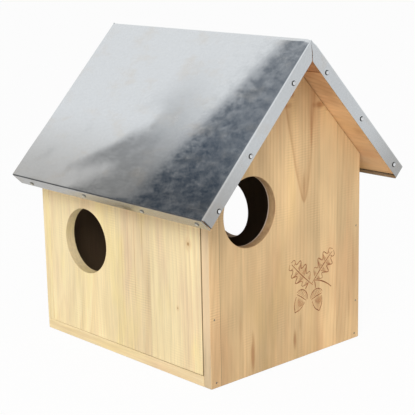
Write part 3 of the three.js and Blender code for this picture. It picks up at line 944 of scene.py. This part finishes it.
# Painted shade in the fold's open end at the front corner.
open_end_shade = past_bend.between(fold_radius - open_strip, fold_radius - open_strip_full) * left_side * skirts
open_end_shade = open_end_shade * (1 - (flow - sheet_low.y).between(*OPEN_END))
zinc_colour = zinc.mix(stain.between(0.5, 0.75) * 0.45 + weather_and_reflection * 1.4, tone("#D3D7DA"), tone("#CFCAC2"))
zinc_colour = zinc.mix(crack * (0.35 + mottle), zinc_colour, tone("#3C3F42"))
zinc_colour = zinc.mix(smudge * (0.3 + mottle * 0.6), zinc_colour, tone("#6F6656"))
zinc_colour = zinc.mix(open_end_shade * 0.85, zinc_colour, tone("#3A3F45"))
zinc_colour = zinc_colour.scaled(0.945 - weather_and_reflection - skirts * 0.04 + spangle * 0.12)
zinc.paint(Base_Color=zinc_colour, Metallic=1 - bloom,
           Roughness=0.035 + mottle.between(0.36, 0.72) * 0.035 + crack * 0.3 + skirts * 0.2)
zinc.bump((stain * 0.01 + mottle * 0.0014) * mm)
sheet.data.materials.append(zinc.material)
fit(sheet, "house", "zinc_sheet", "roof_sheet")

# Tacks: round-headed zinc-plated tacks driven square through the skirts and flanges into the planks.
# Each dome stands on the sheet, bright on top with painted shade round its foot, and darker, a painted
# shade, and duller in the skirts. The two pivot nails of the swinging panel are made the same way.
# Profiles are (radius, height) in mm.
TACK_PROFILE = ((0.5, 1.4), (1.2, 1.27), (1.8, 0.98), (2.2, 0.58), (2.4, 0.25), (2.8, 0.12), (2.75, 0.02),
                (0.92, 0.0), (0.9, -11.5), (0.12, -13.9))
PIVOT_PROFILE = ((0.5, 1.1), (1.2, 0.98), (1.8, 0.68), (2.15, 0.3), (2.25, 0.02), (1.12, 0.0), (1.1, -31.3),
                 (0.12, -33.9))


def turned(name, profile, sides=28):
    """A nail along Z, drawn out ring by ring from its dome, a profile of radius and height."""
    bpy.ops.object.select_all(action="DESELECT")
    radius, height = profile[0]
    bpy.ops.mesh.primitive_circle_add(vertices=sides, radius=radius * mm, fill_type="NGON",
                                      location=(0, 0, height * mm))
    nail = bpy.context.active_object
    nail.name = name
    settle(nail)
    bpy.ops.object.mode_set(mode="EDIT")
    for (radius, height), (last_radius, last_height) in zip(profile[1:], profile):
        step = (0, 0, (height - last_height) * mm)
        bpy.ops.mesh.extrude_region_move(TRANSFORM_OT_translate={"value": step})
        bpy.ops.transform.resize(value=(radius / last_radius, radius / last_radius, 1))
    bpy.ops.mesh.select_all(action="SELECT")
    bpy.ops.mesh.normals_make_consistent(inside=False)
    bpy.ops.object.mode_set(mode="OBJECT")
    rim = nail.data.attributes.new("rim", "FLOAT", "POINT")
    widest = max(radius for radius, _ in profile) * mm
    for corner in nail.data.vertices:
        place = corner.co
        rim.data[corner.index].value = math.hypot(place.x, place.y) / widest if place.z > 0 else 1
    return nail


def ends_of(node):
    """A nail's head and tip: the two corners of its node furthest apart, the head's being the wider end."""
    places = [corner.co.copy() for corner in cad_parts[node].data.vertices]
    middle = sum(places, Vector()) / len(places)
    tip = max(places, key=lambda p: (p - middle).length)
    head = max(places, key=lambda p: (p - tip).length)
    return head, tip


def drive(model, node, stand):
    """A copy of a turned nail on a node's axis, its dome as far out as the node's."""
    head, tip = ends_of(node)
    out = (head - tip).normalized()
    nail = model.copy()
    nail.data = model.data.copy()
    nail.name = f"{node}_turned"
    bpy.context.scene.collection.objects.link(nail)
    aim = out.to_track_quat("Z", "Y").to_matrix().to_4x4()
    nail.matrix_world = Matrix.Translation(head - out * stand) @ aim
    settle(nail)
    fit(nail, "house", "nail_steel", node)


def nail_steel(name, bright, shaded_rim, roughness):
    """Zinc plating, with painted shade from the middle of the dome outwards to its foot."""
    dome = Finish(name, Metallic=1.0)
    rim = dome.node("ShaderNodeAttribute", {"attribute_name": "rim"}, {}, "Fac")
    # Painted shade: the dome darkens towards its foot.
    rim_shade = rim.between(0.6, 0.8)
    dome.paint(Base_Color=dome.mix(rim_shade, tone(bright), tone(shaded_rim)), Roughness=roughness + rim_shade * 0.3)
    return dome.material


bright_steel = nail_steel("tack_steel", "#E2E4E6", "#383734", 0.14)
# The skirt tacks get a darker copy of the plating, which is painted shade, with a rougher finish.
shaded_dull_steel = nail_steel("shaded_dull_tack_steel", "#C9C6BC", "#96938A", 0.45)
for wanted, profile, plating in (("front_tack", TACK_PROFILE, bright_steel),
                                 ("back_tack", TACK_PROFILE, bright_steel),
                                 ("skirt_tack", TACK_PROFILE, shaded_dull_steel),
                                 ("door_pivot_nail", PIVOT_PROFILE, bright_steel)):
    model = turned("nail_model", profile)
    model.data.materials.append(plating)
    for node in sorted(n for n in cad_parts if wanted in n):
        drive(model, node, profile[0][1] * mm)
    bpy.data.objects.remove(model)

# Studio: a plain pale floor that keeps the box's shadow, white all round, and one wide soft lamp from the
# left and the front.
WHITE = (1, 1, 1, 1)
floor_size = 30
floor_gap = 0.5 * mm
white_to_camera = 0.94
white_to_metal = 0.6
bpy.ops.object.select_all(action="DESELECT")
bpy.ops.mesh.primitive_plane_add(size=floor_size, location=(0, 0, -floor_gap))
floor = bpy.context.active_object
floor.name = "studio_floor"
pale = Finish("studio_floor_paint", Roughness=0.9)
pale.paint(Base_Color=tone("#F4F4F4"))
by_camera = pale.node("ShaderNodeLightPath", output="Is Camera Ray")
by_metal = pale.node("ShaderNodeLightPath", output="Is Glossy Ray")
white = pale.node("ShaderNodeEmission", {}, {"Color": WHITE, "Strength": 1})
whiteness = by_camera * white_to_camera + by_metal * white_to_metal
shown = pale.node("ShaderNodeMixShader", {}, {0: whiteness, 1: pale.body, 2: white})
pale.feed(pale.tree.nodes["Material Output"].inputs["Surface"], shown)
floor.data.materials.append(pale.material)
floor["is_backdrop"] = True

# The sky is white to the camera. Metal also sees a dark card, a band over the sky that rises far off to
# the left behind the box. Its sharp edge is square to the direction named here and has a grey border.
CARD_EDGE_NORMAL = (-0.719, -0.562, 0.409)
CARD_LOW = (0.056, 0.082, 0.118, 1)
CARD_HIGH = (0.232, 0.252, 0.282, 1)
CARD_BORDER = (0.42, 0.425, 0.43, 1)
AMBIENT = (0.55, 0.55, 0.55, 1)
world = bpy.data.worlds.new("studio")
bpy.context.scene.world = world
world.use_nodes = True
sky = Nodes(world.node_tree)
ray = sky.node("ShaderNodeTexCoord", output="Generated")
camera_ray = sky.node("ShaderNodeLightPath", output="Is Camera Ray")
gloss_ray = sky.node("ShaderNodeLightPath", output="Is Glossy Ray")
past_edge = ray.dot(CARD_EDGE_NORMAL)
height = ray.dot(AXES["z"])
fade = 1 - past_edge.between(0.09, 0.25)
border = past_edge.between(-0.052, -0.026) * (1 - height.between(0.61, 0.68)) * fade
card = sky.mix(height.between(0.63, 0.74), CARD_LOW, CARD_HIGH)
seen = sky.mix(border, WHITE, CARD_BORDER)
seen = sky.mix(past_edge.between(-0.009, -0.002) * fade, seen, card)
glow = sky.mix(gloss_ray, AMBIENT, seen)
backdrop = sky.mix(camera_ray, glow, WHITE)
sky.feed(world.node_tree.nodes["Background"].inputs["Color"], backdrop)

lamp_place = Vector((-2.3, -1.7, 2.0))
lamp_target = Vector((0, 0, 0.15))
lamp_data = bpy.data.lights.new("lamp_left", "AREA")
lamp_data.shape = "DISK"
lamp_data.size = 1.6
lamp_data.energy = 53
lamp = bpy.data.objects.new("lamp_left", lamp_data)
bpy.context.scene.collection.objects.link(lamp)
lamp.location = lamp_place
lamp.rotation_euler = (lamp_target - lamp_place).to_track_quat("-Z", "Y").to_euler()

# Camera: where the photograph was taken from, worked out from the box's own corners, with the lens that
# shows them in a square frame of the photograph's width.
view_azimuth = math.radians(-42.374)
view_elevation = math.radians(13.465)
view_roll = math.radians(-1.155)
view_place = Vector((-0.9355, -1.0414, 0.4882))
frame_pixels = 415
focal_pixels = 1227.99
camera_data = bpy.data.cameras.new("camera")
camera = bpy.data.objects.new("camera", camera_data)
bpy.context.scene.collection.objects.link(camera)
camera_data.sensor_width = 36
camera_data.lens = focal_pixels / frame_pixels * camera_data.sensor_width
away = Vector((math.sin(view_azimuth) * math.cos(view_elevation),
               -math.cos(view_azimuth) * math.cos(view_elevation), math.sin(view_elevation)))
level = AXES["z"].cross(away).normalized()
upright = away.cross(level)
right_hand = level * math.cos(view_roll) + upright * math.sin(view_roll)
overhead = away.cross(right_hand)
aim = Matrix((right_hand, overhead, away)).transposed().to_4x4()
camera.matrix_world = Matrix.Translation(view_place) @ aim
bpy.context.scene.camera = camera
bpy.context.scene.view_settings.view_transform = "Standard"

low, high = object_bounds()
